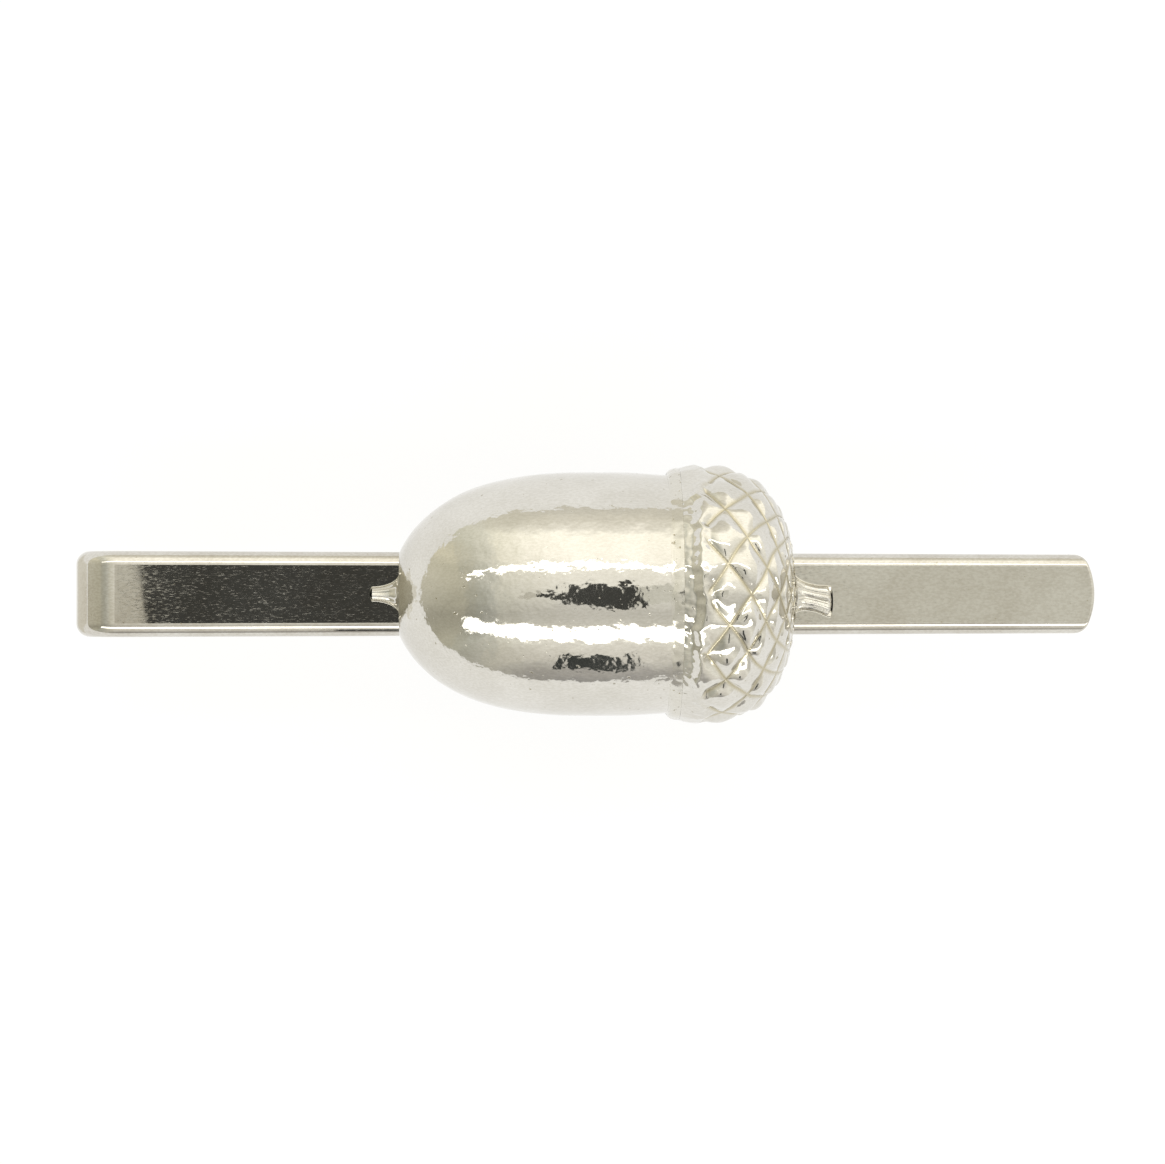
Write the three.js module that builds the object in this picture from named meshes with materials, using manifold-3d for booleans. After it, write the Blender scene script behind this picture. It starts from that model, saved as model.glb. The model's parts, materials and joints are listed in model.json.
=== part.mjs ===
// Tie slide with an acorn ornament.
//
// A round-edged strip of spring brass is folded back on itself. The front bar shows, and the back leaf
// presses up against it, so that a tie and the edge of a shirt are held between the two. A hollow half
// acorn is soldered across the front bar: a nut casting, a cup casting drawn over the nut's neck, a
// bead of solder round the seam, and one solder pad under each end.
//
// Frame, in millimetres: +X runs from the fold to the open end, +Y across the strip, and +Z from the
// back leaf to the crown of the acorn. The origin is below the middle of the slide, level with the
// underside of the fold.

import * as THREE from "three";
import { mergeVertices } from "three/addons/utils/BufferGeometryUtils.js";
import Module from "manifold-3d";

const wasm = await Module();
wasm.setup();

// ---- Driving dimensions: the strip ----

const slideLength = 51; // outside of the fold to the free end of the front bar
const stripThickness = 0.9;
const foldWidth = 4.3; // strip width round the fold
const freeWidth = 3.95; // strip width at the free end of the front bar
const foldRadius = 2.2; // outside radius of the fold
const edgeRound = 0.62; // how far the rounded long edges reach in from the sides
const edgeFlat = 0.1; // flat left on each side between its two rounded edges
const endRadius = 3.75; // the free ends are drawn to a shallow arc
const cornerRadius = 0.75;
const cornerBreak = 0.05; // how far outside the strip's sides the corner rounds would run out

// ---- Driving dimensions: the run of the back leaf ----

const leafSetback = 4.5; // how much shorter the back leaf is than the front bar
const humpSetback = 9; // from the leaf's tip back to the top of its hump
const gripGap = 0.3; // between the hump and the front bar, with no tie in place
const lipDrop = 1.4; // how far the tip is turned down from the hump
const heelEase = 6; // reach of the bend from the fold into the rising run
const humpEase = 9; // reach of the bend over the hump, on the side of the fold
const lipEase = 4; // reach of the bend over the hump, on the side of the tip
const lipSlope = THREE.MathUtils.degToRad(13); // slope of the strip where it ends

// ---- Driving dimensions: the acorn ----

const noseX = -9.27; // place of the nut's blunt nose along the slide
const nutLength = 13.89; // from the nose to the seam
const nutCrest = 10.02; // from the nose to the nut's widest place
const nutRadius = 6.1;
const nutFullness = 2.8; // exponent of the nut's outline: 2 would be an ellipse
const noseCut = 0.45; // how much of that outline's point the blunt nose cuts off
const nutWaist = 0.18; // how much the nut narrows again towards the cup
const noseWall = 1.2;
const nutWall = 0.9;

const neckLap = 1.9; // how far the nut's neck reaches into the cup
const neckStep = 0.3; // how far the neck is stepped in from the nut's outside
const cupLip = 1.28; // from the seam to the cup's widest place
const cupDepth = 4.55; // from there to the end of the cup
const cupStand = 0.45; // how far the cup stands proud of the nut at its widest
const lipStand = 0.2; // how far it stands proud at the edge of its lip
const cupFullness = 2.5;
const cupWall = 0.9;

const tipLength = 1.35; // the point that stands out of the nut's nose
const tipRoot = 1; // radius where the point leaves the nose
const tipEnd = 0.3;
const stemLength = 1.8;
const stemRoot = 1;
const stemCove = 0.9; // length of the cove between the cup and the waist of the stem
const stemWaist = 0.62;
const stemEnd = 0.72;

// ---- Driving dimensions: the solder ----

const solderThickness = 0.15; // between the front bar and the acorn's flat back
const solderSpread = 0.22; // how far a pad shows beyond the point or the stem
const padReach = 0.95; // how far a pad goes in under the casting
const seamBead = 0.55; // width of the bead in front of the cup's lip
const solderGap = 0.08; // clearance left round the lapped neck and under the bead

// ---- Fineness of the curved surfaces ----

const foldSteps = 32; // round a full turn of the fold
const barSteps = 4; // along the front bar, so that flat faces end clear of the acorn
const leafSteps = 18; // along the back leaf
const endSteps = 5; // along each arc of a free end
const edgeSteps = 4; // round each edge of the strip
const roundSteps = 40; // round a full turn of the acorn
const outsideSteps = 12; // along the outside of a casting
const insideSteps = 7; // along its inside
const flareSteps = 5; // along the point and the stem

// ---- Places that follow from the dimensions ----

const edgeDrop = (stripThickness - edgeFlat) / 2; // how far the rounded edges drop from each face
const halfLength = slideLength / 2;
const foldX = foldRadius - halfLength; // centre of the fold
const foldZ = foldRadius;
const frontFaceZ = 2 * foldRadius;
const frontBackZ = frontFaceZ - stripThickness;
const leafTipX = halfLength - leafSetback;
const humpX = leafTipX - humpSetback;
const humpTopZ = frontBackZ - gripGap;
const acornBackZ = frontFaceZ + solderThickness;
const nutCrestX = noseX + nutCrest;
const seamX = noseX + nutLength;
const shoulderX = seamX - solderGap;
const neckEndX = seamX + neckLap;
const neckRadius = nutRadius - nutWaist - neckStep;
const neckBore = neckRadius - nutWall;
const cupCrestX = seamX + cupLip;
const cupEndX = cupCrestX + cupDepth;
const cupRadius = nutRadius + cupStand;
const lipRadius = nutRadius + lipStand;
const far = 2 * slideLength;

// ---- Solids ----

// A closed surface as a solid, with its vertices merged by place alone.
function solidOf(geometry) {
  const bare = geometry.clone();
  bare.deleteAttribute("normal");
  bare.deleteAttribute("uv");
  const merged = mergeVertices(bare, 1e-4);
  const triVerts = new Uint32Array(merged.index.array);
  const vertProperties = new Float32Array(merged.attributes.position.array);
  return new wasm.Manifold(new wasm.Mesh({ numProp: 3, vertProperties, triVerts }));
}

function geometryOf(solid) {
  const mesh = solid.getMesh();
  const geometry = new THREE.BufferGeometry();
  geometry.setAttribute("position", new THREE.BufferAttribute(new Float32Array(mesh.vertProperties), 3));
  geometry.setIndex(new THREE.BufferAttribute(new Uint32Array(mesh.triVerts), 1));
  geometry.computeVertexNormals();
  return geometry;
}

// A box between two corners.
function block(low, high) {
  const size = high.map((value, i) => value - low[i]);
  const middle = high.map((value, i) => (value + low[i]) / 2);
  return solidOf(new THREE.BoxGeometry(...size).translate(...middle));
}

// A flat outline in X and Y, made into a plate that fills the heights from bottom to top.
function plate(outline, bottom, top) {
  const options = { depth: top - bottom, bevelEnabled: false, curveSegments: endSteps };
  return solidOf(new THREE.ExtrudeGeometry(outline, options).translate(0, 0, bottom));
}

// A turned solid round the line Y = 0 at the height of the acorn's back, from [x, radius] pairs.
function turned(profile) {
  const points = profile.map(([x, radius]) => new THREE.Vector2(radius, x));
  const geometry = new THREE.LatheGeometry(points, roundSteps);
  geometry.rotateZ(-Math.PI / 2).translate(0, 0, acornBackZ);
  return solidOf(geometry);
}

// The front half of a turned solid: the acorn's pieces all have the same flat back.
function frontHalf(solid) {
  return solid.intersect(block([-far, -far, acornBackZ], [far, far, far]));
}

// ---- The strip ----

// The strip narrows evenly from the fold to its free ends.
function widthAt(x) {
  const share = THREE.MathUtils.clamp((x - foldX) / (halfLength - foldX), 0, 1);
  return THREE.MathUtils.lerp(foldWidth, freeWidth, share);
}

// The strip's section with its thickness along X and its width along Y. Every corner is a quarter of an
// ellipse, which reaches further in across the face than it drops down the side.
function stripSection() {
  const centreX = stripThickness / 2 - edgeDrop;
  const centreY = foldWidth / 2 - edgeRound;
  const section = new THREE.Shape();
  for (const quarter of [0, 1, 2, 3]) {
    const signX = quarter === 0 || quarter === 3 ? 1 : -1;
    const signY = quarter < 2 ? 1 : -1;
    const start = (quarter * Math.PI) / 2;
    section.absellipse(signX * centreX, signY * centreY, edgeDrop, edgeRound, start, start + Math.PI / 2);
  }
  return section;
}

// A straight length of full-width strip along X, with the middle of its thickness at Z = 0.
function straightStrip(length, steps) {
  const options = { depth: length, steps, curveSegments: edgeSteps, bevelEnabled: false };
  return new THREE.ExtrudeGeometry(stripSection(), options).rotateY(Math.PI / 2);
}

// Sets every cross-section of a straight length square to a path, which lies in X and Z.
function bent(geometry, path, length) {
  const position = geometry.attributes.position;
  for (let i = 0; i < position.count; i++) {
    const share = THREE.MathUtils.clamp(position.getX(i) / length, 0, 1);
    const centre = path.getPointAt(share);
    const way = path.getTangentAt(share);
    const rise = position.getZ(i);
    position.setX(i, centre.x - rise * way.y);
    position.setZ(i, centre.y + rise * way.x);
  }
  return geometry;
}

function narrowed(geometry) {
  const position = geometry.attributes.position;
  for (let i = 0; i < position.count; i++) {
    position.setY(i, (position.getY(i) * widthAt(position.getX(i))) / foldWidth);
  }
  return geometry;
}

// The plan of a free end: a shallow arc across with a small round at each corner. Its sides lie just
// outside the strip's, so that only the end is shaped.
function freeEnd(endX) {
  const cornerY = widthAt(endX) / 2 + cornerBreak - cornerRadius;
  const arcX = endX - endRadius;
  const cornerX = arcX + Math.sqrt((endRadius - cornerRadius) ** 2 - cornerY ** 2);
  const turn = Math.atan2(cornerY, cornerX - arcX);
  const outline = new THREE.Shape();
  outline.absarc(cornerX, -cornerY, cornerRadius, -Math.PI / 2, -turn, false);
  outline.absarc(arcX, 0, endRadius, -turn, turn, false);
  outline.absarc(cornerX, cornerY, cornerRadius, turn, Math.PI / 2, false);
  outline.lineTo(-far, foldWidth);
  outline.lineTo(-far, -foldWidth);
  outline.closePath();
  return outline;
}

function frontBar() {
  const length = halfLength + stripThickness - foldX;
  const strip = straightStrip(length, barSteps).translate(foldX, 0, frontFaceZ - stripThickness / 2);
  return solidOf(narrowed(strip)).intersect(plate(freeEnd(halfLength), 0, far));
}

function springFold() {
  const middle = foldRadius - stripThickness / 2;
  const section = stripSection().getPoints(edgeSteps);
  const profile = section.map((point) => new THREE.Vector2(middle + point.x, point.y));
  const ring = new THREE.LatheGeometry([...profile, profile[0]], foldSteps);
  const whole = solidOf(ring.translate(foldX, 0, foldZ));
  return whole.intersect(block([-far, -far, -far], [foldX, far, far]));
}

// The leaf climbs from the foot of the fold to its hump, and turns down again past its tip.
function leafPath() {
  const footZ = stripThickness / 2;
  const humpZ = humpTopZ - stripThickness / 2;
  const endX = leafTipX + stripThickness;
  const endZ = humpZ - lipDrop;
  const easeX = endX - lipEase * Math.cos(lipSlope);
  const easeZ = endZ + lipEase * Math.sin(lipSlope);
  const path = new THREE.Path();
  path.moveTo(foldX, footZ);
  path.bezierCurveTo(foldX + heelEase, footZ, humpX - humpEase, humpZ, humpX, humpZ);
  path.bezierCurveTo(humpX + lipEase, humpZ, easeX, easeZ, endX, endZ);
  return path;
}

function backLeaf() {
  const path = leafPath();
  const length = path.getLength();
  const strip = bent(straightStrip(length, leafSteps), path, length);
  return solidOf(narrowed(strip)).intersect(plate(freeEnd(leafTipX), -far, far));
}

// ---- The acorn ----

// Places from one end of a stretch to the other, crowded towards the second, where it curves most.
function crowded(from, to, count) {
  return Array.from({ length: count + 1 }, (_, i) => {
    return from + (to - from) * Math.sin(((i / count) * Math.PI) / 2);
  });
}

// A hollow cove, from the thin end of a point or a stem to its root on the casting.
function cove(thinX, rootX, thin, root) {
  return Array.from({ length: flareSteps }, (_, i) => {
    const turn = ((i / flareSteps) * Math.PI) / 2;
    return [thinX + (rootX - thinX) * Math.sin(turn), thin + (root - thin) * (1 - Math.cos(turn))];
  });
}

// Radius of a nut outline that starts at a blunt nose and is widest at the crest.
function nutRadiusAt(x, nose, widest) {
  if (x > nutCrestX) return widest - nutWaist * ((x - nutCrestX) / (nutLength - nutCrest)) ** 2;
  return widest * Math.sqrt(1 - ((nutCrestX - x) / (nutCrestX - nose + noseCut)) ** nutFullness);
}

// Radius of a cup outline: a lip that swells to the crest, then a full round down to the end.
function cupRadiusAt(x, end, widest) {
  if (x < cupCrestX) return widest - (cupStand - lipStand) * ((cupCrestX - x) / cupLip) ** 2;
  return widest * (1 - Math.min(1, (x - cupCrestX) / (end - cupCrestX)) ** cupFullness) ** (1 / cupFullness);
}

// The nut, with the point at its nose, and a neck that enters the cup. It is hollow behind.
function acornNut() {
  const hollowX = noseX + noseWall;
  const middleX = (nutCrestX + shoulderX) / 2;
  const outside = [...crowded(nutCrestX, noseX, outsideSteps).reverse(), middleX, shoulderX];
  const inside = crowded(nutCrestX, hollowX, insideSteps);
  const hollowAt = (x) => Math.min(nutRadiusAt(x, hollowX, nutRadius - nutWall), neckBore);
  return frontHalf(
    turned([
      [noseX - tipLength, 0],
      ...cove(noseX - tipLength, noseX, tipEnd, tipRoot),
      ...outside.map((x) => [x, nutRadiusAt(x, noseX, nutRadius)]),
      [shoulderX, neckRadius],
      [neckEndX, neckRadius],
      [neckEndX, neckBore],
      ...inside.map((x) => [x, hollowAt(x)]),
      [hollowX, 0],
    ]),
  );
}

// The cup, with the socket for the nut's neck, and the stem. It is hollow behind.
function acornCup() {
  const socketRadius = neckRadius + solderGap;
  const socketEndX = neckEndX + solderGap;
  const hollowX = cupEndX - cupWall;
  const stemEndX = cupEndX + stemLength;
  const middleX = (seamX + cupCrestX) / 2;
  const outside = [seamX, middleX, ...crowded(cupCrestX, cupEndX, outsideSteps)];
  const inside = crowded(socketEndX, hollowX, insideSteps).reverse();
  const hollowAt = (x) => Math.min(cupRadiusAt(x, hollowX, cupRadius - cupWall), neckBore);
  return frontHalf(
    turned([
      ...inside.map((x) => [x, hollowAt(x)]),
      [socketEndX, socketRadius],
      [seamX, socketRadius],
      ...outside.map((x) => [x, Math.max(cupRadiusAt(x, cupEndX, cupRadius), stemRoot)]),
      ...cove(cupEndX + stemCove, cupEndX, stemWaist, stemRoot).reverse(),
      [stemEndX, stemEnd],
      [stemEndX, 0],
    ]),
  );
}

// The bead lies in the corner between the nut's surface and the edge of the cup's lip.
function seamSolder() {
  const frontX = shoulderX - seamBead;
  const bedAt = (x) => nutRadiusAt(x, noseX, nutRadius) + solderGap;
  const crown = crowded(frontX, shoulderX, flareSteps).map((x) => {
    const share = (x - frontX) / seamBead;
    return [x, bedAt(x) + (lipRadius - bedAt(x)) * Math.sqrt(share * (2 - share))];
  });
  return frontHalf(turned([...crown, [shoulderX, bedAt(shoulderX)], crown[0]]));
}

// A solder pad fills the film between the front bar and the acorn, wide under the casting and drawn
// out round the point or the stem.
function solderPad(innerX, rootX, endX, root, end) {
  const way = Math.sign(endX - innerX);
  const wide = widthAt(innerX) / 2 - edgeRound;
  const outline = new THREE.Shape();
  outline.moveTo(innerX, -wide);
  outline.lineTo(rootX, -wide);
  outline.quadraticCurveTo(rootX, -root - solderSpread, (rootX + endX) / 2, -end - solderSpread);
  outline.lineTo(endX, -end - solderSpread);
  outline.quadraticCurveTo(endX + way * solderSpread, 0, endX, end + solderSpread);
  outline.lineTo((rootX + endX) / 2, end + solderSpread);
  outline.quadraticCurveTo(rootX, root + solderSpread, rootX, wide);
  outline.lineTo(innerX, wide);
  outline.closePath();
  return plate(outline, frontFaceZ, acornBackZ);
}

function noseSolder() {
  return solderPad(noseX + padReach, noseX, noseX - tipLength, tipRoot, tipEnd);
}

function stemSolder() {
  return solderPad(cupEndX - padReach, cupEndX, cupEndX + stemLength, stemRoot, stemEnd);
}

// ---- Finishes ----

// Warm silver-coloured plating all over: brightest on the strip, and a little softer on the castings.
const platedStrip = { color: 0xd9d3c4, roughness: 0.12, metalness: 1 };
const platedCasting = { color: 0xe2ddcf, roughness: 0.16, metalness: 1 };
const platedSolder = { color: 0xdcd8c9, roughness: 0.2, metalness: 1 };

// ---- Assembly ----

const tieSlide = new THREE.Group();

function add(name, solid, finish) {
  const mesh = new THREE.Mesh(geometryOf(solid), new THREE.MeshStandardMaterial(finish));
  mesh.name = name;
  tieSlide.add(mesh);
}

add("front_bar", frontBar(), platedStrip);
add("spring_fold", springFold(), platedStrip);
add("back_leaf", backLeaf(), platedStrip);
add("acorn_nut", acornNut(), platedCasting);
add("acorn_cup", acornCup(), platedCasting);
add("seam_solder", seamSolder(), platedSolder);
add("nose_solder", noseSolder(), platedSolder);
add("stem_solder", stemSolder(), platedSolder);

export default tieSlide;
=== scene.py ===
"""A tie slide: a folded strip of spring brass with a hollow half acorn soldered across its front bar.

Everything is in metres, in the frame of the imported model: +X from the fold to the open end, +Y across
the strip, +Z from the back leaf to the crown of the acorn.
"""

import json
import math

import bmesh
import bpy
import numpy as np
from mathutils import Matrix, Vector, noise


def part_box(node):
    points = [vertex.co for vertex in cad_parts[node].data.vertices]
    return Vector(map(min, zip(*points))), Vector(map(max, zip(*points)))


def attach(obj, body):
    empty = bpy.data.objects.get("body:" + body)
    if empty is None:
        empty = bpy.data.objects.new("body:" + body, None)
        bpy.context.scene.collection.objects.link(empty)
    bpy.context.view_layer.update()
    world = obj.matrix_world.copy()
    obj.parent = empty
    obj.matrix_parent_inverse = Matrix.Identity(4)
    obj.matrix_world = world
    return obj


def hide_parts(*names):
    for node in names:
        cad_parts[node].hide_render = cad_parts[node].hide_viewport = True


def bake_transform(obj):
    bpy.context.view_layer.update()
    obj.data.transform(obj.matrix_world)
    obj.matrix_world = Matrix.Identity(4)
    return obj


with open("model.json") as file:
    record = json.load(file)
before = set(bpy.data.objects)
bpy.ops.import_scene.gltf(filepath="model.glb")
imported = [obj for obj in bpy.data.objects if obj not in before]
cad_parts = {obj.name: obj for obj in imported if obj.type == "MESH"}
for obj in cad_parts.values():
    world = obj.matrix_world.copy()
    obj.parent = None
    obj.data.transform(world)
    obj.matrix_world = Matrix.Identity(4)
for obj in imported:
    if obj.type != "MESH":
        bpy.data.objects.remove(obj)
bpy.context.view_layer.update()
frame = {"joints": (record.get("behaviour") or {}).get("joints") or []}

MM = 0.001

# ---- The strip ----
# The slide is one strip of hard brass, 0.9 mm thick, with its long edges rolled round. It is cut to
# length with a shallow arc at each end, folded back on itself round a mandrel, and polished and plated.
# Its front bar and fold are drawn here in one run, down to the foot of the back leaf.

bar_low, bar_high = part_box("front_bar")
fold_low, fold_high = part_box("spring_fold")
leaf_low, leaf_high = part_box("back_leaf")

strip_thickness = bar_high.z - bar_low.z
fold_x = fold_high.x
fold_z = (fold_low.z + fold_high.z) / 2
fold_middle = (fold_high.z - fold_low.z - strip_thickness) / 2
fold_width = fold_high.y - fold_low.y
free_end_x = bar_high.x
leaf_tip_x = leaf_high.x
free_width = 3.95 * MM
outer_round = 0.68 * MM  # radius of the rolled edges on the outside of the strip
inner_round = 0.32 * MM  # how far in from the sides they reach on the inside
end_radius = 3.75 * MM  # the arc that the free ends are cut to
end_corner = 0.75 * MM
end_bevel = 0.13 * MM  # the burr of the cut, dressed off
hump_x = leaf_tip_x - 9 * MM
hump_z = leaf_high.z - strip_thickness / 2
heel_ease, hump_ease = 6 * MM, 9 * MM  # how slowly the leaf leaves the fold and comes up to its hump


def width_at(x):
    """The strip narrows evenly from the fold to its free ends."""
    share = np.clip((x - fold_x) / (free_end_x - fold_x), 0, 1)
    return fold_width + (free_width - fold_width) * share


def strip_section():
    """The outside and the inside of the strip, from side to side, which meet at its sides.

    Each is places across, from -1 to 1, and heights over the middle of the strip."""
    half = fold_width / 2
    turn = np.linspace(0, math.pi / 2, 15)
    faces = []
    for reach, rise in ((outer_round, outer_round), (inner_round, outer_round - strip_thickness)):
        side_y = half - reach + reach * np.cos(turn)
        side_z = strip_thickness / 2 - outer_round + rise * np.sin(turn)
        flat_y = (half - reach) * np.sin(np.linspace(-1, 1, 25)[1:-1] * math.pi / 2)
        across = np.concatenate([-side_y, flat_y, side_y[::-1]]) / half
        height = np.concatenate([side_z, np.full(len(flat_y), side_z[-1]), side_z[::-1]])
        faces.append((across, height))
    return faces


def free_end(across, tip_x):
    """How far each line along the strip runs, for a free end cut to an arc with small corners."""
    half = width_at(tip_x) / 2
    y = np.abs(across) * half
    corner_y = half - end_corner
    arc_x = tip_x - end_radius
    corner_x = arc_x + math.sqrt((end_radius - end_corner) ** 2 - corner_y**2)
    meet_y = corner_y * end_radius / (end_radius - end_corner)
    on_arc = arc_x + np.sqrt(end_radius**2 - np.minimum(y, meet_y) ** 2)
    on_corner = corner_x + np.sqrt(np.maximum(0, end_corner**2 - np.maximum(0, y - corner_y) ** 2))
    return np.where(y < meet_y, on_arc, on_corner)


def strip_ring(centre, way, section, tip_x=None, run=0.0, thin=0.0, outward=1):
    """One cross-section of the strip, square to its way: over its outside and back over its inside.

    With tip_x, the ring is moved on to run short of that free end, and made thinner."""
    up = np.array([-way[1], way[0]]) * outward
    waist = strip_thickness / 2 - outer_round
    rows = []
    for across, height in section:
        rise = height - thin * (height - waist) / np.abs(height - waist).max()
        x = centre[0] + rise * up[0]
        z = centre[1] + rise * up[1]
        if tip_x is not None:
            reach = free_end(across, tip_x) - run - centre[0]
            x = x + reach * way[0]
            z = z + reach * way[1]
        y = across * width_at(x) / 2
        rows.append(np.stack([x, y, z], axis=1))
    return np.concatenate([rows[0], rows[1][::-1]])


def skinned(name, rings, hollows=None):
    """A closed mesh over rings of points, with each end filled between the two halves of its ring.

    hollows says, for each point, how far down in a groove it lies, from 0 to 1."""
    rings = np.asarray(rings)
    rows, count, _ = rings.shape
    faces = []
    for i in range(rows - 1):
        for j in range(count):
            k = (j + 1) % count
            faces.append((i * count + j, i * count + k, (i + 1) * count + k, (i + 1) * count + j))
    last = (rows - 1) * count
    for j in range(count // 2 - 1):
        far, near = count - 1 - j, count - 2 - j
        faces.append((j, far, near, j + 1))
        faces.append((last + j, last + j + 1, last + near, last + far))
    mesh = bpy.data.meshes.new(name)
    mesh.from_pydata(rings.reshape(-1, 3).tolist(), [], faces)
    depth = mesh.attributes.new("hollow", "FLOAT", "POINT")
    if hollows is not None:
        depth.data.foreach_set("value", np.asarray(hollows, dtype=np.float32).ravel())
    shape = bmesh.new()
    shape.from_mesh(mesh)
    bmesh.ops.remove_doubles(shape, verts=shape.verts, dist=MM * 1e-4)
    bmesh.ops.dissolve_degenerate(shape, edges=shape.edges, dist=MM * 1e-5)
    bmesh.ops.recalc_face_normals(shape, faces=shape.faces)
    shape.to_mesh(mesh)
    shape.free()
    for face in mesh.polygons:
        face.use_smooth = True
    mesh.set_sharp_from_angle(angle=math.radians(38))
    piece = bpy.data.objects.new(name, mesh)
    bpy.context.scene.collection.objects.link(piece)
    return piece


def shaped_end(centre, way, section, tip_x, outward=1):
    """The rings that finish a free end, with the edge of the cut dressed round."""
    rings = []
    for step in (2.2, 1.4, 1.0):
        rings.append(strip_ring(centre, way, section, tip_x, run=step * end_bevel, outward=outward))
    for turn in np.linspace(0, math.pi / 2, 6)[1:]:
        run = end_bevel * (1 - math.sin(turn))
        thin = end_bevel * (1 - math.cos(turn))
        rings.append(strip_ring(centre, way, section, tip_x, run=run, thin=thin, outward=outward))
    return rings


def bezier(points, shares):
    """Places and ways along a cubic curve."""
    a, b, c, d = (np.array(p)[None, :] for p in points)
    t = np.asarray(shares)[:, None]
    place = a * (1 - t) ** 3 + 3 * b * t * (1 - t) ** 2 + 3 * c * t**2 * (1 - t) + d * t**3
    way = (b - a) * (1 - t) ** 2 + 2 * (c - b) * t * (1 - t) + (d - c) * t**2
    return place, way / np.linalg.norm(way, axis=1)[:, None]


def plated(name, colour, roughness, grain, dents, specks):
    """Warm silver-coloured plating on polished brass, with fine lines, soft dents and small specks.

    Down in the grooves it is rougher, and its colour is painted darker and yellower there, as painted
    shade."""
    cloud_scale, mottle_scale = 350, 11000
    cloud_tint, cloud_gloss = (0.35, 0.65), (0.3, 0.7)
    mottle_tint, mottle_share = (0.38, 0.62), 0.5
    speck_edge = 0.05
    groove_matt = 0.2
    material = bpy.data.materials.new(name)
    material.use_nodes = True
    nodes, links = material.node_tree.nodes, material.node_tree.links
    shader = nodes["Principled BSDF"]
    shader.inputs["Metallic"].default_value = 1.0
    place = nodes.new("ShaderNodeTexCoord")

    def pattern(stretch, scale, detail):
        mapping = nodes.new("ShaderNodeMapping")
        mapping.inputs["Scale"].default_value = stretch
        links.new(place.outputs["Object"], mapping.inputs["Vector"])
        texture = nodes.new("ShaderNodeTexNoise")
        texture.inputs["Scale"].default_value = scale
        texture.inputs["Detail"].default_value = detail
        links.new(mapping.outputs["Vector"], texture.inputs["Vector"])
        return texture.outputs["Fac"]

    def ranged(value, low, high, to_low, to_high):
        node = nodes.new("ShaderNodeMapRange")
        node.inputs["From Min"].default_value = low
        node.inputs["From Max"].default_value = high
        node.inputs["To Min"].default_value = to_low
        node.inputs["To Max"].default_value = to_high
        links.new(value, node.inputs["Value"])
        return node.outputs["Result"]

    def bumped(value, depth, normal=None):
        node = nodes.new("ShaderNodeBump")
        node.inputs["Strength"].default_value = 1.0
        node.inputs["Distance"].default_value = depth
        links.new(value, node.inputs["Height"])
        if normal is not None:
            links.new(normal, node.inputs["Normal"])
        return node.outputs["Normal"]

    lines = pattern(grain["stretch"], grain["scale"], 6)
    clouds = pattern((1, 1, 1), cloud_scale, 3)
    mottling = pattern((0.5, 1, 1), mottle_scale, 2)
    soft = pattern((1, 1, 1), dents["scale"], 2.3)
    dust = pattern((1, 1, 1), specks["scale"], 2)
    speck = ranged(dust, specks["from"], specks["from"] + speck_edge, 0, 1)

    tint = nodes.new("ShaderNodeMix")
    tint.data_type = "RGBA"
    tint.inputs["A"].default_value = (*colour["worn"], 1)
    tint.inputs["B"].default_value = (*colour["bright"], 1)
    mottle = nodes.new("ShaderNodeMath")
    mottle.operation = "MULTIPLY_ADD"
    mottle.inputs[1].default_value = 1 - mottle_share
    links.new(ranged(clouds, *cloud_tint, 0, 1), mottle.inputs[0])
    links.new(ranged(mottling, *mottle_tint, 0, mottle_share), mottle.inputs[2])
    links.new(mottle.outputs["Value"], tint.inputs["Factor"])
    spotted = nodes.new("ShaderNodeMix")
    spotted.data_type = "RGBA"
    spotted.inputs["B"].default_value = (*colour["speck"], 1)
    links.new(tint.outputs["Result"], spotted.inputs["A"])
    links.new(speck, spotted.inputs["Factor"])
    # Painted shade: the colour darkens and yellows with how deep each point lies in a groove.
    groove_shade = nodes.new("ShaderNodeAttribute")
    groove_shade.attribute_name = "hollow"
    dulled = nodes.new("ShaderNodeMix")
    dulled.data_type = "RGBA"
    dulled.inputs["B"].default_value = (*colour["groove_shade"], 1)
    links.new(spotted.outputs["Result"], dulled.inputs["A"])
    links.new(groove_shade.outputs["Fac"], dulled.inputs["Factor"])
    links.new(dulled.outputs["Result"], shader.inputs["Base Color"])

    gloss = nodes.new("ShaderNodeMath")
    gloss.operation = "ADD"
    matt = nodes.new("ShaderNodeMath")
    matt.operation = "MULTIPLY_ADD"
    matt.inputs[1].default_value = groove_matt
    links.new(groove_shade.outputs["Fac"], matt.inputs[0])
    links.new(ranged(clouds, *cloud_gloss, roughness["low"], roughness["high"]), gloss.inputs[0])
    links.new(ranged(lines, grain["from"], grain["to"], 0, roughness["lines"]), gloss.inputs[1])
    links.new(gloss.outputs["Value"], matt.inputs[2])
    links.new(matt.outputs["Value"], shader.inputs["Roughness"])

    normal = bumped(soft, dents["depth"])
    normal = bumped(lines, grain["depth"], normal)
    normal = bumped(ranged(speck, 0, 1, 1, 0), specks["depth"], normal)
    links.new(normal, shader.inputs["Normal"])
    return material


strip_plating = plated(
    "plated_strip",
    colour={
        "worn": (0.535, 0.505, 0.447),
        "bright": (0.675, 0.658, 0.612),
        "speck": (0.42, 0.37, 0.27),
        "groove_shade": (0.5, 0.46, 0.34),
    },
    roughness={"low": 0.012, "high": 0.03, "lines": 0.165},
    grain={"stretch": (0.22, 1, 1), "scale": 21000, "from": 0.50, "to": 0.78, "depth": 0.07e-6},
    dents={"scale": 260, "depth": 1.2e-6},
    specks={"scale": 5200, "from": 0.73, "depth": 0.4e-6},
)

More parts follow.
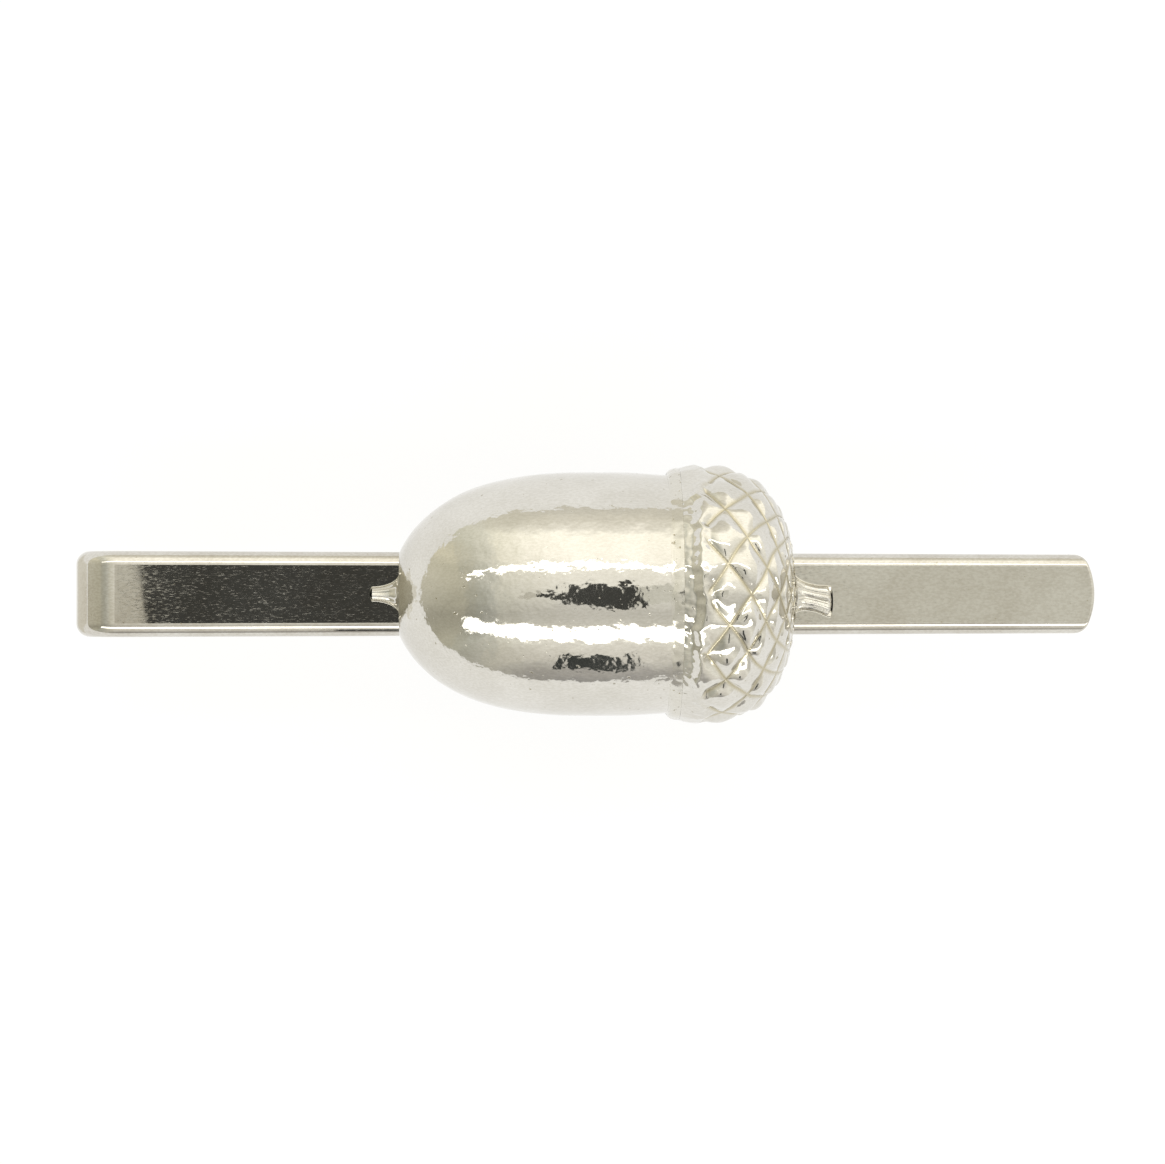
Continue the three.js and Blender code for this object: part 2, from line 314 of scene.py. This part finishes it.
section = strip_section()
bar_z = (bar_low.z + bar_high.z) / 2
rings = shaped_end((free_end_x, bar_z), (1, 0), section, free_end_x)[::-1]
flat_start = free_end_x - 1.2 * MM
flat_stop = fold_x + 0.03 * MM  # close by the fold, so that the flat stays flat up to it
for x in np.append(np.linspace(flat_start, flat_stop, 30), fold_x):
    rings.append(strip_ring((x, bar_z), (1, 0), section))
for turn in np.linspace(math.pi / 2, 3 * math.pi / 2, 65)[1:]:
    centre = (fold_x + fold_middle * math.cos(turn), fold_z + fold_middle * math.sin(turn))
    rings.append(strip_ring(centre, (math.sin(turn), -math.cos(turn)), section))

foot = (fold_x, leaf_low.z + strip_thickness / 2)
hump = (hump_x, hump_z)
rise = [foot, (foot[0] + heel_ease, foot[1]), (hump[0] - hump_ease, hump[1]), hump]
places, ways = bezier(rise, np.linspace(0, 1, 49))
foot_steps = 7  # rings of the leaf that belong to the folded strip
for place, way in zip(places[1:foot_steps], ways[1:foot_steps]):
    rings.append(strip_ring(place, -way, section))
folded_strip = skinned("folded_strip", rings)
folded_strip.data.materials.append(strip_plating)
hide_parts("front_bar", "spring_fold")
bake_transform(folded_strip)

# ---- The back leaf ----
# The rest of the same strip, behind the tie. It climbs to a hump that presses on the front bar, and its
# lip turns away again so that cloth slides in.

lip_drop = 1.4 * MM
lip_slope = math.radians(13)
lip_ease = 4 * MM
lip_end_room = 1.3 * MM  # left for the rings of the cut end

rings = []
for place, way in zip(places[foot_steps - 1 :], ways[foot_steps - 1 :]):
    rings.append(strip_ring(place, way, section, outward=-1))
lip = (math.cos(lip_slope), -math.sin(lip_slope))
end = (leaf_tip_x + strip_thickness, hump_z - lip_drop)
ease = (end[0] - lip_ease * lip[0], end[1] - lip_ease * lip[1])
places, ways = bezier([hump, (hump[0] + lip_ease, hump[1]), ease, end], np.linspace(0, 1, 33))
for place, way in zip(places[1:], ways[1:]):
    if place[0] < leaf_tip_x - lip_end_room:
        last_place, last_way = place, way
        rings.append(strip_ring(place, way, section, outward=-1))
rings += shaped_end(last_place, last_way, section, leaf_tip_x, outward=-1)
back_leaf = skinned("back_leaf_strip", rings)
back_leaf.data.materials.append(strip_plating)
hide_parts("back_leaf")
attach(back_leaf, "leaf")

# ---- The nut of the acorn ----
# A hollow brass casting, half round, with a flat open back. It was cast in a soft mould, so its skin
# rolls a little, and it was polished without being cut true. A spur stands out of its nose.

nut_low, nut_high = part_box("acorn_nut")
axis_z = nut_low.z
nose_x = -9.27 * MM
nut_length = 13.89 * MM
nut_crest_x = nose_x + 10.02 * MM
nut_radius = nut_high.y
nut_fullness = 2.8
nose_cut = 0.45 * MM
nut_waist = 0.18 * MM
seam_x = nose_x + nut_length
shoulder_x = seam_x - 0.08 * MM
neck_end_x = nut_high.x
neck_radius = nut_radius - nut_waist - 0.3 * MM
wall = 0.9 * MM
nose_wall = 1.2 * MM
spur_x = nut_low.x
spur_root, spur_end = 1.0 * MM, 0.3 * MM
broad_roll, fine_roll = 0.022 * MM, 0.010 * MM  # how far the skin of the casting rolls in and out
spur_flutes, spur_flute_depth = 9, 0.10


def nut_outline(x, nose, widest):
    """Radius of the nut: a blunt nose, widest at the crest, and a little waist before the cup."""
    short = np.clip((nut_crest_x - x) / (nut_crest_x - nose + nose_cut), 0, 1)
    past = np.clip((x - nut_crest_x) / (seam_x - nut_crest_x), 0, 1)
    return widest * np.sqrt(1 - short**nut_fullness) - nut_waist * past**2


def crowded(start, end, count):
    """Places from start to end, crowded towards the end, where the outline turns fastest."""
    return start + (end - start) * np.sin(np.linspace(0, math.pi / 2, count))


def half_turned(name, outer, inner, steps, relief, drift=None):
    """Half a turned shell with a flat back, from its outside and its inside as (x, radius) lists.

    relief(x, turn, radius) gives the outside after casting, and how deep each point lies in a groove.
    drift(x) shifts it to the side."""
    rings, hollows = [], []
    for turn in np.linspace(0, math.pi, steps):
        radius, hollow = relief(outer[:, 0], turn, outer[:, 1])
        loop_x = np.concatenate([outer[:, 0], inner[::-1, 0]])
        loop_r = np.concatenate([radius, inner[::-1, 1]])
        y = loop_r * math.cos(turn)
        if drift is not None:
            y = y + drift(loop_x)
        z = axis_z + loop_r * math.sin(turn)
        rings.append(np.stack([loop_x, y, z], axis=1))
        hollows.append(np.concatenate([hollow, np.zeros(len(inner))]))
    return skinned(name, rings, hollows)


def rolling(x, turn, radius, size, seed):
    """Smooth noise over the skin of a casting, from -1 to 1."""
    values = []
    for one_x, one_r in zip(x, radius):
        spot = Vector((one_x, one_r * math.cos(turn), one_r * math.sin(turn))) / size
        values.append(noise.noise(spot + Vector((seed, 0, 0))))
    return np.array(values)


def nut_relief(x, turn, radius):
    broad = rolling(x, turn, radius, 2.6 * MM, 3.1)
    fine = rolling(x, turn, radius, 0.8 * MM, 7.7)
    near_end = np.clip((neck_end_x - x) / MM, 0, 1)
    body = np.clip((x - nose_x) / (1.5 * MM), 0, 1) * near_end
    skin = radius - body * (broad_roll * (broad + 1) + fine_roll * (fine + 1))
    streak = np.clip((nose_x - x) / (0.5 * MM), 0, 1)
    flute = 0.5 + 0.5 * math.cos(spur_flutes * turn)
    return skin * (1 - spur_flute_depth * streak * flute), np.zeros(len(x))


spur = np.linspace(0, math.pi / 2, 14)[:-1]
spur_line_x = spur_x + (nose_x - spur_x) * np.sin(spur)
spur_line_r = spur_end + (spur_root - spur_end) * (1 - np.cos(spur))
spur_line = np.stack([spur_line_x, spur_line_r], axis=1)
nose_to_crest = crowded(nut_crest_x, nose_x, 70)[::-1]
crest_to_shoulder = np.linspace(nut_crest_x, shoulder_x, 26)[1:]
body_x = np.concatenate([nose_to_crest, crest_to_shoulder])
body = np.stack([body_x, nut_outline(body_x, nose_x, nut_radius)], axis=1)
neck = np.array([[shoulder_x, neck_radius], [neck_end_x, neck_radius]])
outer = np.concatenate([[[spur_x, spur_end * 0.4]], spur_line, body, neck])
hollow_x = nose_x + nose_wall
inner_x = outer[:, 0]
inner_r = np.where(inner_x > hollow_x, nut_outline(inner_x, hollow_x, nut_radius - wall), 0)
inner = np.stack([inner_x, np.minimum(inner_r, neck_radius - wall)], axis=1)
acorn_nut = half_turned("nut_casting", outer, inner, 181, nut_relief)

casting_plating = plated(
    "plated_casting",
    colour={
        "worn": (0.605, 0.585, 0.532),
        "bright": (0.715, 0.698, 0.655),
        "speck": (0.42, 0.39, 0.31),
        "groove_shade": (0.50, 0.455, 0.33),
    },
    roughness={"low": 0.03, "high": 0.075, "lines": 0.05},
    grain={"stretch": (1, 1, 1), "scale": 7000, "from": 0.45, "to": 0.75, "depth": 1.2e-6},
    dents={"scale": 1400, "depth": 28e-6},
    specks={"scale": 3600, "from": 0.71, "depth": 6e-6},
)
acorn_nut.data.materials.append(casting_plating)
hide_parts("acorn_nut")
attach(acorn_nut, "front")

# ---- The cup of the acorn ----
# The second casting, over the nut's neck. Its scales are cut by two families of grooves that wind round
# it both ways and draw together towards the stem. The lip is dressed roughly where it meets the solder.

cup_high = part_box("acorn_cup")[1]
cup_crest_x = seam_x + 1.28 * MM
cup_end_x = cup_crest_x + 4.55 * MM
cup_radius = cup_high.y
lip_radius = nut_radius + 0.2 * MM
cup_fullness = 2.5
stem_end_x = cup_high.x
stem_root, stem_waist, stem_end = 1.0 * MM, 0.62 * MM, 0.72 * MM
stem_cove = 0.9 * MM
stem_round = 0.26 * MM
stem_flutes, stem_flute_depth = 7, 0.24
stem_lean = 0.38 * MM  # how far the end of the stem droops to one side
band_end_x = seam_x + 0.95 * MM  # where the plain lip ends and the scales begin
half_pitch = math.radians(14)  # half a scale, round the cup
scale_reach = 0.172  # half a scale along the cup, as a share of the radius there
groove_half = 0.12 * MM  # half the flat floor of a groove
scale_crown = 0.26 * MM
scribed_half, scribed_depth = 0.055 * MM, 0.05 * MM  # the fine line down the middle of each groove
lip_sunk = 0.30 * MM  # how far the lip is dressed down to the solder
skin_roll = 0.022 * MM


def cup_outline(x, end, widest):
    """Radius of the cup: a rolled lip, widest at the crest, and round to the stem."""
    past = np.clip((x - cup_crest_x) / (end - cup_crest_x), 0, 1)
    before = np.clip((cup_crest_x - x) / (cup_crest_x - seam_x), 0, 1)
    domed = widest * (1 - past**cup_fullness) ** (1 / cup_fullness)
    return domed - (cup_radius - lip_radius) * before**2


def scales_along(x, radius):
    """How many half scales lie between the band and each place, along the outline."""
    length = np.hypot(np.gradient(x), np.gradient(radius))
    steps = np.where(x > band_end_x, length / (scale_reach * np.maximum(radius, 0.3 * MM)), 0)
    return np.cumsum(steps)


def eased_step(share):
    return share**2 * (3 - 2 * share)


def on_crown(turn):
    """1 over the crown of the acorn, and down to 0 towards its two sides."""
    return np.clip((math.sin(turn) - 0.3) / 0.4, 0, 1)


def cup_relief(x, turn, radius):
    """The cast scales, each of its own height and lean, with the grooves, the lip and the stem."""
    along = scales_along(x, radius)
    wander = 0.2 * rolling(x, turn, radius, 2.6 * MM, 21.0)
    around = (turn - math.pi / 2) / half_pitch
    first = (along + around) / 2 + wander
    second = (along - around) / 2 + 0.8 * wander
    spacing = 2 * radius * scale_reach * half_pitch / math.hypot(scale_reach, half_pitch)
    sides, rises, floors, seams = [], [], [], []
    for lines in (first, second):
        place = lines - np.floor(lines) - 0.5
        to_line = (0.5 - np.abs(place)) * spacing
        span = np.clip((to_line - groove_half) / (spacing / 2 - groove_half), 0, 1)
        sides.append(2 * place)
        rises.append(1 - (1 - span) ** 2.3)
        floors.append(np.exp(-((to_line / (1.1 * groove_half)) ** 4)))
        seams.append(np.exp(-((to_line / scribed_half) ** 2)))
    chance = np.sin(np.floor(first) * 12.9898 + np.floor(second) * 78.233) * 43758.5453
    chance = chance - np.floor(chance)  # a number of its own, from 0 to 1, for each scale
    other = (chance * 37.0) % 1
    scale_height = scale_crown * (0.72 + 0.28 * chance)
    leaning = 1 + 0.6 * (other - 0.5) * sides[0] + 0.6 * (chance - 0.5) * sides[1]
    scale = scale_height * np.minimum(1, rises[0] * rises[1] * leaning)
    uneven = 0.04 * MM * (1 + rolling(x, turn, radius, 1.3 * MM, 41.0))
    lip_ring = (np.full(1, seam_x), turn, np.full(1, lip_radius))
    tooth = 0.6 * rolling(*lip_ring, 0.5 * MM, 5.0) + 0.8 * rolling(*lip_ring, 1.7 * MM, 15.0)
    begin = band_end_x - 0.1 * MM + 0.45 * MM * tooth
    scaled = eased_step(np.clip((x - begin) / (0.55 * MM), 0, 1))
    scaled = scaled * np.clip((radius - 1.2 * MM) / MM, 0, 1)
    ragged_x = seam_x + 0.70 * MM + 0.30 * MM * tooth
    below = eased_step(np.clip((ragged_x - x) / (0.55 * MM) + 0.5, 0, 1))
    beads = 0.02 * MM * rolling(x, turn, radius, 0.26 * MM, 55.0) * (below > 0.9)
    ragged = on_crown(turn) * (lip_sunk * below - beads)
    past_seam = np.clip((x - seam_x) / (0.9 * MM), 0, 1)
    eased = 0.055 * MM * (1 + tooth) * (1 - scaled) * past_seam
    skin = skin_roll * (1 + rolling(x, turn, radius, 0.55 * MM, 11.0))
    stem = np.clip((x - cup_end_x) / (0.5 * MM), 0, 1)
    line = np.maximum(seams[0], seams[1])
    cut_in = scaled * (scale_crown - scale + uneven + scribed_depth * line)
    cut = radius - cut_in - ragged - eased - skin * (1 - stem)
    # How deep each point lies in a groove, which the plating turns into painted shade.
    hollow = scaled * np.clip(0.55 * np.maximum(floors[0], floors[1]) + 0.45 * line, 0, 1)
    flute = 0.5 + 0.5 * math.cos(stem_flutes * turn + 0.6)
    return cut * (1 - stem_flute_depth * stem * flute), hollow


lip_x = np.linspace(seam_x, cup_crest_x, 26)
round_x = crowded(cup_crest_x, cup_end_x, 150)[1:]
cup_x = np.concatenate([lip_x, round_x])
cup_r = np.maximum(cup_outline(cup_x, cup_end_x, cup_radius), stem_root)
cove = np.linspace(math.pi / 2, 0, 14)[1:]
cove_x = cup_end_x + stem_cove * (1 - np.sin(cove))
cove_r = stem_waist + (stem_root - stem_waist) * (1 - np.cos(cove))
tail_x = np.linspace(cup_end_x + stem_cove, stem_end_x - stem_round, 9)[1:]
tail_share = (tail_x - tail_x[0]) / (tail_x[-1] - tail_x[0])
tail_r = stem_waist + (stem_end - stem_waist) * tail_share**1.5
tip = np.linspace(0, math.pi / 2, 7)[1:]
tip_x = stem_end_x - stem_round * (1 - np.sin(tip))
tip_r = stem_end - stem_round * 1.6 * (1 - np.cos(tip))
outer = np.concatenate(
    [
        np.stack([cup_x, cup_r], axis=1),
        np.stack([cove_x, cove_r], axis=1),
        np.stack([tail_x, tail_r], axis=1),
        np.stack([tip_x, tip_r], axis=1),
    ]
)
socket_gap = 0.08 * MM
socket_radius = neck_radius + socket_gap
socket_end_x = neck_end_x + socket_gap
cup_hollow_x = cup_end_x - wall
inner_x = outer[:, 0]
inner_r = np.where(inner_x < cup_hollow_x, cup_outline(inner_x, cup_hollow_x, cup_radius - wall), 0)
inner_r = np.minimum(inner_r, neck_radius - wall)
inner_r = np.where(inner_x < socket_end_x, socket_radius, inner_r)
inner = np.stack([inner_x, inner_r], axis=1)


def stem_drift(x):
    """The stem leans to one side, more and more towards its end."""
    share = np.clip((x - cup_end_x + 0.1 * MM) / (stem_end_x - cup_end_x), 0, 1)
    return -stem_lean * share**1.2


acorn_cup = half_turned("cup_casting", outer, inner, 481, cup_relief, stem_drift)
acorn_cup.data.materials.append(casting_plating)
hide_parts("acorn_cup")
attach(acorn_cup, "front")

# ---- The solder ----
# A bead runs round the seam, pushed up in small lumps by the torch, and a pad holds each end of the
# acorn to the bar. All of it was plated with the rest.

solder_plating = plated(
    "plated_solder",
    colour={
        "worn": (0.63, 0.61, 0.55),
        "bright": (0.69, 0.673, 0.62),
        "speck": (0.40, 0.36, 0.27),
        "groove_shade": (0.5, 0.46, 0.34),
    },
    roughness={"low": 0.08, "high": 0.16, "lines": 0.08},
    grain={"stretch": (1, 1, 1), "scale": 8000, "from": 0.45, "to": 0.75, "depth": 0.8e-6},
    dents={"scale": 1500, "depth": 18e-6},
    specks={"scale": 5000, "from": 0.66, "depth": 8e-6},
)

bead_low, bead_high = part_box("seam_solder")
bead_lumps = 0.025 * MM
pad_fillet = 0.07 * MM
pad_end_round = 0.12 * MM
least_half = 0.01 * MM
bead_x = np.linspace(bead_low.x, seam_x - 0.005 * MM, 12)
share = (bead_x - bead_low.x) / (bead_high.x - bead_low.x)
bed = nut_outline(bead_x, nose_x, nut_radius) - 0.03 * MM
crown = bed + (lip_radius - bed) * np.sqrt(share * (2 - share))
low_crown = bed + 0.125 * MM * share


def bead_relief(x, turn, radius):
    lumps = bead_lumps * (1 + rolling(x, turn, radius, 0.5 * MM, 33.0))
    return radius - on_crown(turn) * (crown - low_crown) - lumps, np.zeros(len(x))


outer = np.stack([bead_x, crown], axis=1)
inner = np.stack([bead_x, bed], axis=1)
seam_bead = half_turned("seam_bead", outer, inner, 361, bead_relief)
seam_bead.data.materials.append(solder_plating)
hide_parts("seam_solder")
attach(seam_bead, "front")


def solder_pad(name, low, high, half_width, drift=None):
    """A thin pad between a casting and the bar, with hollow fillets down its sides."""
    rings = []
    thick = high.z - low.z
    fillet = np.linspace(0, math.pi / 2, 6)
    for share in 0.5 - 0.5 * np.cos(np.linspace(0, math.pi, 41)):
        x = low.x + (high.x - low.x) * share
        half = half_width(x)
        side_y = half + pad_fillet * (1 - np.sin(fillet))
        side_z = low.z + thick * (1 - np.cos(fillet))
        y = np.concatenate([-side_y[::-1], side_y, [0.4 * half, -0.4 * half]])
        z = np.concatenate([side_z[::-1], side_z, [low.z, low.z]])
        if drift is not None:
            y = y + drift(x)
        rings.append(np.stack([np.full(len(y), x), y, z], axis=1))
    return skinned(name, rings)


def ended(x, low, high):
    """Rounds the plan of a pad off at its two ends."""
    short = max(0, 1 - (x - low.x) / pad_end_round, 1 - (high.x - x) / pad_end_round)
    return math.sqrt(max(0, 1 - short**2))


pad_low, pad_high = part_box("nose_solder")


def nose_pad(x):
    half = np.interp(x, spur_line_x, spur_line_r)
    if x > nose_x:
        half = min(1.3 * MM, spur_root + 0.6 * (x - nose_x))
    return max(half * ended(x, pad_low, pad_high), least_half)


nose_fillet = solder_pad("nose_fillet", pad_low, pad_high, nose_pad)
nose_fillet.data.materials.append(solder_plating)
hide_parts("nose_solder")
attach(nose_fillet, "front")

stem_pad_low, stem_pad_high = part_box("stem_solder")
stem_line_x = np.concatenate([cove_x, tail_x])
stem_line_r = np.concatenate([cove_r, tail_r])


def stem_pad(x):
    half = np.interp(x, stem_line_x, stem_line_r)
    return max(half * ended(x, stem_pad_low, stem_pad_high), least_half)


stem_fillet = solder_pad("stem_fillet", stem_pad_low, stem_pad_high, stem_pad, stem_drift)
stem_fillet.data.materials.append(solder_plating)
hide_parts("stem_solder")
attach(stem_fillet, "front")

# ---- The studio ----
# A pale floor below everything that the slide can reach, and two long soft lights over it. Dark and grey
# cards and a graded sky give the polished metal something to reflect.

opening = math.radians(max(frame["joints"][0]["range_deg"]))
floor_z = -(leaf_tip_x - fold_x) * math.sin(opening)
floor_half = 3.0
floor_corners = [(-1, -1), (1, -1), (1, 1), (-1, 1)]
floor_mesh = bpy.data.meshes.new("floor")
floor_places = [(x * floor_half, y * floor_half, 0) for x, y in floor_corners]
floor_mesh.from_pydata(floor_places, [], [(0, 1, 2, 3)])
floor = bpy.data.objects.new("floor", floor_mesh)
floor.location.z = floor_z
bpy.context.scene.collection.objects.link(floor)
floor_paint = bpy.data.materials.new("floor_paint")
floor_paint.use_nodes = True
paint = floor_paint.node_tree.nodes["Principled BSDF"]
paint.inputs["Base Color"].default_value = (0.18, 0.18, 0.18, 1)
paint.inputs["Roughness"].default_value = 0.9
paint.inputs["Emission Color"].default_value = (1, 1, 1, 1)
paint.inputs["Emission Strength"].default_value = 0.82
floor_mesh.materials.append(floor_paint)


def card(name, middle, size, shade):
    """A plain card that isn't seen itself, turned to face the slide."""
    mesh = bpy.data.meshes.new(name)
    w, h = size[0] / 2, size[1] / 2
    mesh.from_pydata([(-w, -h, 0), (w, -h, 0), (w, h, 0), (-w, h, 0)], [], [(0, 1, 2, 3)])
    piece = bpy.data.objects.new(name, mesh)
    piece.location = middle
    piece.rotation_euler = (-Vector(middle)).to_track_quat("Z", "Y").to_euler()
    bpy.context.scene.collection.objects.link(piece)
    skin = bpy.data.materials.new(name)
    skin.use_nodes = True
    look = skin.node_tree.nodes["Principled BSDF"]
    look.inputs["Base Color"].default_value = (*shade, 1)
    look.inputs["Roughness"].default_value = 0.8
    mesh.materials.append(skin)
    piece.visible_camera = False
    piece.visible_shadow = False
    piece.visible_diffuse = False
    return piece


def soft_light(name, middle, size, radiance):
    """A long soft light of this size and brightness, turned to face the slide."""
    lamp = bpy.data.lights.new(name, "AREA")
    lamp.shape = "RECTANGLE"
    lamp.size, lamp.size_y = size
    lamp.energy = math.pi * size[0] * size[1] * radiance
    lamp.color = (1.0, 0.985, 0.94)
    holder = bpy.data.objects.new(name, lamp)
    holder.location = middle
    holder.rotation_euler = (-Vector(middle)).to_track_quat("-Z", "Y").to_euler()
    bpy.context.scene.collection.objects.link(holder)


def outline_card(name, corners, height, shade):
    """A flat card of any outline, level, at a height over the underside of the slide."""
    piece = card(name, (0, 0, height), (1, 1), shade)
    piece.rotation_euler = (math.pi, 0, 0)
    piece.data.clear_geometry()
    piece.data.from_pydata([(x, -y, 0) for x, y in corners], [], [tuple(range(len(corners)))])


hood = [
    (-0.0372, -0.008), (-0.009, -0.008), (-0.009, -0.046), (0.026, -0.046),
    (0.026, 0.034), (-0.009, 0.034), (-0.009, 0.008), (-0.0394, 0.008),
]
outline_card("dark_card", hood, 0.207, (0.045, 0.046, 0.042))
right_grey = [(0.0265, -0.03), (0.08, -0.03), (0.08, 0.03), (0.0265, 0.03)]
outline_card("right_grey_card", right_grey, 0.208, (0.76, 0.75, 0.68))
left_grey = [(-0.062, -0.009), (-0.030, -0.009), (-0.030, 0.009), (-0.062, 0.009)]
outline_card("left_grey_card", left_grey, 0.2075, (0.68, 0.66, 0.585))
fold_grey = [(-0.13, -0.008), (-0.0305, -0.008), (-0.0305, 0.008), (-0.13, 0.008)]
outline_card("fold_grey_card", fold_grey, floor_z + 0.2 * MM, (0.74, 0.735, 0.73))
card("low_dark_card", (0.002, -0.27, 0.12), (0.046, 0.085), (0.03, 0.035, 0.035))

light_reach = 0.3


def on_arc(angle):
    """A place on an arc across the slide, at an angle from straight up."""
    turn = math.radians(angle)
    return (0, light_reach * math.sin(turn), light_reach * math.cos(turn))


soft_light("upper_light", on_arc(25.5), (0.62, 0.026), 2.7)
soft_light("lower_light", on_arc(-37.5), (0.62, 0.07), 2.5)

world = bpy.data.worlds.new("studio")
bpy.context.scene.world = world
world.use_nodes = True
air = world.node_tree.nodes
air_links = world.node_tree.links
where = air.new("ShaderNodeTexCoord")
split = air.new("ShaderNodeSeparateXYZ")
air_links.new(where.outputs["Generated"], split.inputs["Vector"])


def tones(value, stops):
    """The colours of the sky along a value from 0 to 1."""
    ramp = air.new("ShaderNodeValToRGB")
    air_links.new(value, ramp.inputs["Fac"])
    first, last = ramp.color_ramp.elements
    first.position, first.color = stops[0][0], (*stops[0][1], 1)
    last.position, last.color = stops[-1][0], (*stops[-1][1], 1)
    for position, tone in stops[1:-1]:
        ramp.color_ramp.elements.new(position).color = (*tone, 1)
    return ramp.outputs["Color"]


def shared(value, low, high):
    place = air.new("ShaderNodeMapRange")
    place.inputs["From Min"].default_value = low
    place.inputs["From Max"].default_value = high
    air_links.new(value, place.inputs["Value"])
    return place.outputs["Result"]


def dimmed(a, b):
    both = air.new("ShaderNodeMix")
    both.data_type = "RGBA"
    both.blend_type = "MULTIPLY"
    both.inputs["Factor"].default_value = 1
    air_links.new(a, both.inputs["A"])
    air_links.new(b, both.inputs["B"])
    return both.outputs["Result"]


lean = air.new("ShaderNodeMath")
lean.operation = "ARCSINE"
air_links.new(split.outputs["Y"], lean.inputs[0])
across_sky = [  # by how many degrees a direction leans to +Y
    (-90, (0.40, 0.39, 0.38)),
    (-78, (0.54, 0.52, 0.49)),
    (-70, (0.71, 0.69, 0.64)),
    (-63, (0.87, 0.84, 0.77)),
    (-52, (0.99, 0.96, 0.88)),
    (-46, (1.12, 1.10, 1.01)),
    (-28, (0.82, 0.80, 0.73)),
    (-18, (0.75, 0.73, 0.67)),
    (-4, (1.0, 0.98, 0.90)),
    (14, (1.19, 1.16, 1.06)),
    (24, (1.25, 1.22, 1.11)),
    (34, (1.54, 1.49, 1.35)),
    (56, (1.57, 1.52, 1.36)),
    (64, (1.18, 1.14, 1.02)),
    (72, (0.98, 0.94, 0.82)),
    (90, (0.80, 0.77, 0.68)),
]
across = [((degrees + 90) / 180, tone) for degrees, tone in across_sky]
sky = tones(shared(lean.outputs["Value"], -math.pi / 2, math.pi / 2), across)
along_sky = [  # dimmer towards the fold's end of the room, which is at 0
    (0.0, (0.66, 0.65, 0.59)),
    (0.06, (0.62, 0.61, 0.54)),
    (0.118, (0.60, 0.59, 0.52)),
    (0.142, (0.53, 0.53, 0.48)),
    (0.20, (0.54, 0.55, 0.52)),
    (0.25, (0.65, 0.66, 0.64)),
    (0.30, (0.77, 0.77, 0.73)),
    (0.42, (0.95, 0.95, 0.94)),
    (0.50, (1.0, 1.0, 1.0)),
    (1.0, (0.95, 0.95, 0.94)),
]
ends = tones(shared(split.outputs["X"], -1, 1), along_sky)
air_links.new(dimmed(sky, ends), air["Background"].inputs["Color"])
air["Background"].inputs["Strength"].default_value = 1.0

camera_height = 200 * MM
camera_shift = 6 * MM  # towards the fold
frame_width = 58.05 * MM
lens = bpy.data.cameras.new("camera")
lens.sensor_width = 36
lens.lens = lens.sensor_width * camera_height / frame_width
lens.clip_start = 0.01
camera = bpy.data.objects.new("camera", lens)
aim = Vector((-0.15 * MM, 0.6 * MM, bar_high.z))
camera.location = aim + Vector((-camera_shift, 0, camera_height))
camera.rotation_euler = (0, -math.atan2(camera_shift, camera_height), 0)
bpy.context.scene.collection.objects.link(camera)
bpy.context.scene.camera = camera
bpy.context.scene.view_settings.view_transform = "Standard"
